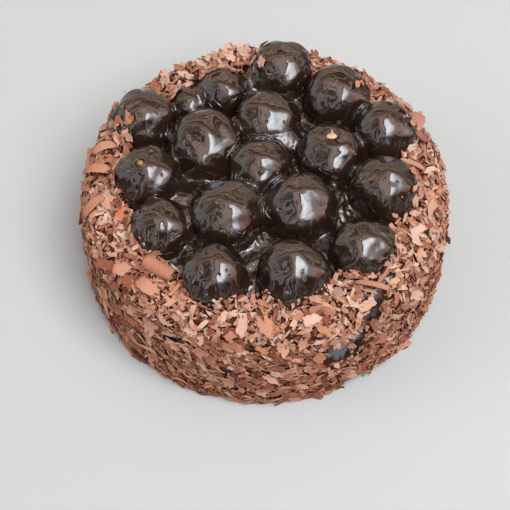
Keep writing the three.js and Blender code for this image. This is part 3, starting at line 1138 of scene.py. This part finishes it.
def big_curl(name, shape, turned_by, lean, tone):
    points, faces = shape
    low, high = (np.array(corner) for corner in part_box(name))
    middle = (low + high) / 2
    bearing = math.atan2(middle[1], middle[0])
    turn = Matrix.Rotation(bearing, 4, "Z") @ Matrix.Rotation(math.radians(lean), 4, "Y")
    turn = turn @ Matrix.Rotation(math.radians(turned_by) - bearing, 4, "Z")
    placed = np.array([turn @ Vector(p * MM) for p in points])
    placed += middle - (placed.min(0) + placed.max(0)) / 2
    curl = new_piece("big_" + name, placed, faces, MILK)
    paint(curl.data, "tone", "FLOAT", tone + 0.1 * points[:, 0] / np.ptp(points[:, 0]))
    paint(curl.data, "shaved", "FLOAT_VECTOR", points * MM)
    settle(curl, "milk_chocolate", name)


for name, (turned_by, length, width, bend, lean, tone) in ROLLS.items():
    taper, ragged = (0.12, 0.07) if width > 10 else (0.45, 0.13)
    shape = strip(rng, length, width, 18, length / bend, THICK, 8, taper, ragged)
    big_curl(name, shape, turned_by, lean, tone)
for name, (turned_by, length, wide, torn, lean, tone) in TORN.items():
    outline = torn_outline(rng, 5, wide, 4, torn)
    big_curl(name, slab(rng, outline, length, THICK, 3, 0.35), turned_by, lean, tone)

# %% [markdown]
# ## Strays
# Shavings and crumbs fell against the profiteroles, a clump of large ones stands up at the back,
# and four thin strips lean from a puff to the rim. The scatter tree could strew them too, but it
# knows nothing of single places. So each is laid by a matrix, and all are joined into one piece.

# %% Lay strays
CRUMB = (1.0, 3.2), (0.3, 0.9)  # sizes in mm, tones
STRAYS = [  # puff, how many, bearings, height angles, sizes in mm, tones
    (10, 30, (150, 252), (-10, 34), (5, 11), (0.35, 0.85)),
    (10, 5, (190, 250), (34, 55), (7, 11), (0.3, 0.6)),
    (9, 14, (140, 215), (-5, 40), (6, 12), (0.3, 0.8)),
    (8, 8, (150, 230), (-5, 30), (5, 11), (0.3, 0.9)),
    (6, 40, (-150, -30), (-30, 16), *CRUMB), (7, 34, (-170, -60), (-30, 16), *CRUMB),
    (5, 26, (-90, 10), (-30, 20), *CRUMB), (4, 20, (-80, 30), (-20, 40), *CRUMB),
    (10, 20, (120, 260), (0, 60), *CRUMB), (8, 16, (160, 260), (-20, 30), *CRUMB),
    (3, 14, (-40, 80), (0, 60), *CRUMB),
    (12, 24, (45, 150), (5, 55), (7, 13), (0.4, 0.9)),
    (11, 10, (110, 180), (5, 60), (6, 12), (0.4, 0.9)),
    (1, 10, (120, 200), (0, 50), (6, 12), (0.4, 0.9)),
    (1, 4, (0, 60), (0, 30), (5, 9), (0.4, 0.9)),
    (2, 7, (-30, 50), (5, 60), (5, 10), (0.3, 0.7)),
    (3, 7, (-10, 80), (5, 55), (5, 10), (0.3, 0.7)),
    (4, 8, (-35, 40), (0, 45), (5, 10), (0.3, 0.8)),
    (5, 7, (-50, 20), (-10, 25), (5, 11), (0.3, 0.9)),
    (6, 8, (-130, -50), (-25, 5), (5, 10), (0.3, 0.9)),
    (7, 7, (-150, -80), (-25, 5), (5, 10), (0.3, 0.9)),
]
parts, tones, shaved = [], [], []


def lay(place, shape, tone):
    points, faces = shape
    parts.append(([place @ Vector(p * MM) for p in points], faces))
    tones.extend([tone] * len(points))
    shaved.append(points * MM)


def tipped(axis, low, high):
    return Matrix.Rotation(rng.uniform(low, high), 4, axis)


for number, count, bearings, ups, sizes, shades in STRAYS:
    for _ in range(count):
        size = rng.uniform(*sizes)
        shape = slab(rng, torn_outline(rng, 5, rng.uniform(0.4, 0.8), 2, 0.3), size, 0.5, 1, 0.2)
        place = frame_at(by_number[number], rng.uniform(*bearings), rng.uniform(*ups))
        place = place @ tipped("Z", 0, 6.3) @ tipped("X", 0.03, 0.3)
        place = place @ Matrix.Translation((0, 0, rng.uniform(0.7, 2.0) * MM))
        lay(place, shape, rng.uniform(*shades))
print("strays on the puffs:", len(parts))

# %% The clump at the back
CLUMP = 34

for _ in range(CLUMP):
    shape = slab(rng, torn_outline(rng, 5, 0.6, 3, 0.4), rng.uniform(5, 11), 0.5, 2, 0.3)
    middle = spot(rng.uniform(95, 112), rng.uniform(97, 109), rng.uniform(91, 101))
    place = Matrix.Translation(middle) @ tipped("X", -0.2, 1.1) @ tipped("Y", -0.6, 0.6)
    lay(place @ tipped("Z", 0, 6.3), shape, rng.uniform(0.55, 0.95))

# %% Strips that lean on a puff
BRIDGES = [  # puff, bearing and height angle, spot on the rim, width in mm, bend in radians, tone
    (4, 58, 32, (1, 106, 92), 3.8, 0.5, 0.62), (4, 22, 64, (-6, 107, 91), 4.8, 0.9, 0.52),
    (3, -5, 15, (24, 114, 96), 9.0, 0.9, 0.60), (5, -30, -10, (-52, 111, 92), 2.8, 0.4, 0.50),
]
OFF_PUFF = 1.0 * MM

for number, bearing, up, foot, width, roll, tone in BRIDGES:
    start = by_number[number].skin(heading(bearing, up)[None], -OFF_PUFF)[0]
    end = spot(*foot)
    along = Vector(end - start)
    shape = strip(rng, along.length / MM, width, 12, roll, 0.6, 4, 0.5, 0.1)
    turn = Matrix((along.normalized(), Vector((0, 0, 1)).cross(along).normalized(), (0, 0, 0)))
    turn[2] = turn[0].cross(turn[1])
    lay(Matrix.Translation((start + end) / 2) @ turn.transposed().to_4x4(), shape, tone)
strays = new_piece("stray_shavings", *joined(parts), MILK, False)
paint(strays.data, "tone", "FLOAT", tones)
paint(strays.data, "shaved", "FLOAT_VECTOR", np.concatenate(shaved))
settle(strays, "milk_chocolate")

# %% [markdown]
# ## Floor and lamps
# The cake stands on a pale table with a large soft light on its right and some light from the
# left. Black glaze shows every lamp as a shape, and a lamp that is large enough to look right in
# it would flatten the shavings. So the two jobs are kept apart: two area lamps and a weak light
# from all round reach dull paint only, and the glaze mirrors only the room of the next step.

# %% Floor
# The floor is painted darker at the front and paler towards the back: a painted fall-off of light
# across the table.
FRONT, BACK = (0.283, 0.297, 0.306, 1), (0.380, 0.395, 0.405, 1)
HALF = 12  # half the width of the floor in metres

floor_paint, flow, shader = new_material("pale_floor")
place = flow.node("ShaderNodeTexCoord", out=3)
far = flow.node("ShaderNodeSeparateXYZ", {}, {0: place}, out=1) * 1.1 + 0.5
far = flow.node("ShaderNodeClamp", {}, {0: far})
feed(blend(flow, far, FRONT, BACK), shader.inputs["Base Color"])
shader.inputs["Roughness"].default_value = 0.6
corners = [(-HALF, -HALF, 0), (HALF, -HALF, 0), (HALF, HALF, 0), (-HALF, HALF, 0)]
floor = new_piece("floor", corners, [(0, 1, 2, 3)], floor_paint)
floor.visible_glossy = False
print("floor is", 2 * HALF, "m wide")

# %% Lamps
HUB = (0, 0, 90 * MM)  # what the lamps face and the room stands round


def softbox(name, bearing, up, away, size, power, colour):
    """A lamp of so many metres and watts that faces the cake. Only dull paint sees it."""
    lamp = bpy.data.lights.new(name, "AREA")
    lamp.shape, lamp.size, lamp.size_y = "RECTANGLE", *size
    lamp.energy, lamp.color = power, colour
    way = Vector(heading(bearing, up))
    turn = (-way).to_track_quat("-Z", "Y").to_matrix().to_4x4()
    holder = bpy.data.objects.new(name, lamp)
    bpy.context.scene.collection.objects.link(holder)
    holder.matrix_world = Matrix.Translation(Vector(HUB) + way * away) @ turn
    holder.visible_glossy = False
    print(name, "gives", power, "W")


softbox("key", -56, 60, 2.5, (1.6, 1.5), 115.0, (1.0, 0.985, 0.965))
softbox("left_panel", -173, 27, 3.0, (1.6, 3.2), 40.0, (1.0, 0.97, 0.93))

# %% The light from all round
world = bpy.data.worlds.new("room")
bpy.context.scene.world = world
world.use_nodes = True
background = world.node_tree.nodes["Background"]
background.inputs["Color"].default_value = (1.0, 0.985, 0.965, 1)
background.inputs["Strength"].default_value = 0.42
world.cycles_visibility.glossy = False
bpy.context.scene.view_settings.view_transform = "Standard"

# %% [markdown]
# ## The room that the glaze mirrors
# A dark mirror looks like glaze only when it has something to mirror. A panorama of a real room
# is the usual way, but it would be one more file, and nothing in it could be moved by itself. So
# a dome stands round the cake, and light is painted at its points: a window, a brown ceiling with
# beams, a curtain, and clutter along the walls. `x` and `y` say where a look meets a ceiling one
# metre up. Layers are painted one over the other, and only glossy rays see the dome.

# %% Patterns for the room
ROOM_AROUND, ROOM_UP, ROOM_RADIUS = 320, 150, 2.0
ROOM_GLOW = 13.0  # the paint's strength, by which the light at the points is divided

look = sphere(np.radians(np.linspace(-75, 89.5, ROOM_UP)), circle(ROOM_AROUND))
right, back, rise = look.T
x, y = right / np.maximum(rise, 0.06), back / np.maximum(rise, 0.06)
glow = np.zeros_like(look)


def ramp(value, low, high):
    return np.clip((value - low) / (high - low), 0, 1)


def band(value, rise_from, rise_to, fall_from, fall_to):
    return ramp(value, rise_from, rise_to) * ramp(value, fall_to, fall_from)


def towards(x, y, z, wide):
    """One along a direction. It fades over `wide` degrees."""
    way = np.array((x, y, z)) / math.hypot(x, y, z)
    return np.exp(-((np.degrees(np.arccos(np.clip(look @ way, -1, 1))) / wide) ** 2))


def bar(at, wide, dark):
    """A dark bar across the window."""
    return 1 - dark * np.exp(-(((x - at) / wide) ** 2))


def light(strength, colour):
    return np.outer(strength * np.ones(len(look)), colour)


def brush(part, lit):
    """Paints over what is there, wholly where `part` is one."""
    glow[:] = glow * (1 - part[:, None]) + part[:, None] * lit


around = np.arctan2(back, right)
clutter = np.sin(9 * around) + np.sin(15 * around + 1) + 0.6 * np.sin(8 * rise + around)
clutter = ramp(clutter, 0.5, 0.9)
stripes = ramp(np.sin(23 * around + 3 * rise) + np.sin(37 * around + 2), 0.9, 1.3)
above = ramp(rise, -0.01, 0.01)
print("clutter fills", round(clutter.mean(), 2), "and stripes", round(stripes.mean(), 2), "of the room")

# %% Walls
for *way, pattern, strength, colour in (
    (0, 1, 0.1, 60, 1, 0.8, (1.0, 0.84, 0.70)),
    (-0.2, -1, 0.15, 36, clutter, 1.8, (1.0, 0.90, 0.87)),
    (-0.3, -1, 0.25, 40, stripes, 2.8, (1.0, 0.95, 0.95)),
    (1, 0.1, 0.1, 30, clutter, 2.4, (1.0, 0.84, 0.80)),
    (-1, -0.2, 0.5, 34, clutter, 1.8, (0.92, 0.98, 1.0)),
    (-1, 0, 0.2, 40, stripes, 4.0, (0.97, 0.98, 1.0)),
):
    brush(towards(*way) * pattern * above, light(strength, colour))

# %% Ceiling, curtains and a pane on the left
rows = np.sqrt(np.maximum(y, 0))
beams = 0.15 + 0.6 * ramp(np.cos(10 * rows + 0.8 * np.sin(2.1 * x)), -0.3, 0.3)
beams += 0.8 * ramp(np.cos(27 * rows + 1.6 * np.sin(1.3 * x) + 1), 0.4, 0.7)
aside, height = np.degrees(np.arctan2(back, -right)), np.degrees(np.arcsin(rise))
left_pane = band(aside, -22, -18, 44, 50) * band(height, 2, 6, 31, 35)
left_pane *= 1 - 0.7 * ramp(np.sin(0.35 * aside + 0.1 * height), 0.7, 0.9)
shelf = band(x, -1.4, -0.5, -0.5, -0.4) * band(y, -2.0, -1.2, 0, 0.1) * (0.1 + 0.9 * clutter)
curtain = ramp(x, -0.42, -0.36) * band(y, -2.2, -0.9, 0.2, 0.36)
near_wall = band(y, -2.2, -0.9, 0.1, 0.2)
for part, strength, colour in (
    (ramp(y, 0.0, 0.12) * ramp(rise, 0.1, 0.35), 1.7 * beams, (1.0, 0.70, 0.53)),
    (shelf, 2.0, (1.0, 0.95, 0.95)),
    (curtain, 3.0, (1.0, 0.80, 0.72)),
    (band(x, -0.30, -0.28, -0.22, -0.20) * near_wall, 1.2, (1.0, 0.75, 0.65)),
    (band(x, 0.10, 0.12, 0.18, 0.20) * near_wall, 0.3, (1.0, 0.8, 0.7)),
    (left_pane, 1.3, (0.94, 1.0, 0.98)),
):
    brush(part, light(strength, colour))

# %% The window
WINDOW, DAYLIGHT = 12.3, (0.91, 0.94, 1.0)

shape = 1.1 * towards(0.45, -0.32, 0.85, 33) * ramp(towards(0.5, -0.2, 0.85, 32), 0.12, 0.35)
shape += 0.35 * towards(0.35, -0.70, 0.62, 16)
shape *= bar(0.6, 0.03, 0.4) * ramp(rise, 0.28, 0.66)
shape *= (1.15 - 0.6 * ramp(x, 0.25, 1.1)) * bar(0.25, 0.012, 0.75)
pane = ramp(x, 0.17, 0.20) * ramp(y, 0.08, 0.04)
brush(pane, np.maximum(light(WINDOW * shape, DAYLIGHT), glow))

# %% A red thing on the right, and light from below
below = 0.12 + 0.6 * clutter + 0.35 * ramp(back, 0.3, 0.8)
below += 0.8 * stripes * ramp(np.abs(right), 0.5, 0.8) + 0.5 * stripes * ramp(back, -0.5, -0.8)
for part, strength, colour in (
    (towards(1, -0.28, 0.24, 12), 2.6, (1.0, 0.32, 0.18)),
    (ramp(rise, -0.01, -0.03), below, (1.0, 0.9, 0.85)),
    (ramp(rise, -0.45, -0.6) * ramp(back, 0.2, -0.2), 1.1, (0.85, 0.92, 1.0)),
):
    brush(part, light(strength, colour))

# %% The dome
glow_paint, flow, shader = new_material("room_glow")
feed(stored(flow, "glow", 0), shader.inputs["Emission Color"])
shader.inputs["Base Color"].default_value = (0, 0, 0, 1)
shader.inputs["Emission Strength"].default_value = ROOM_GLOW
walls = rings_to_faces(ROOM_UP, ROOM_AROUND)
room = new_piece("room", look * ROOM_RADIUS + HUB, walls, glow_paint)
paint(room.data, "glow", "FLOAT_VECTOR", glow / ROOM_GLOW)
room.visible_diffuse = room.visible_camera = room.visible_shadow = False
print("the brightest glow is", round(glow.max(), 1))
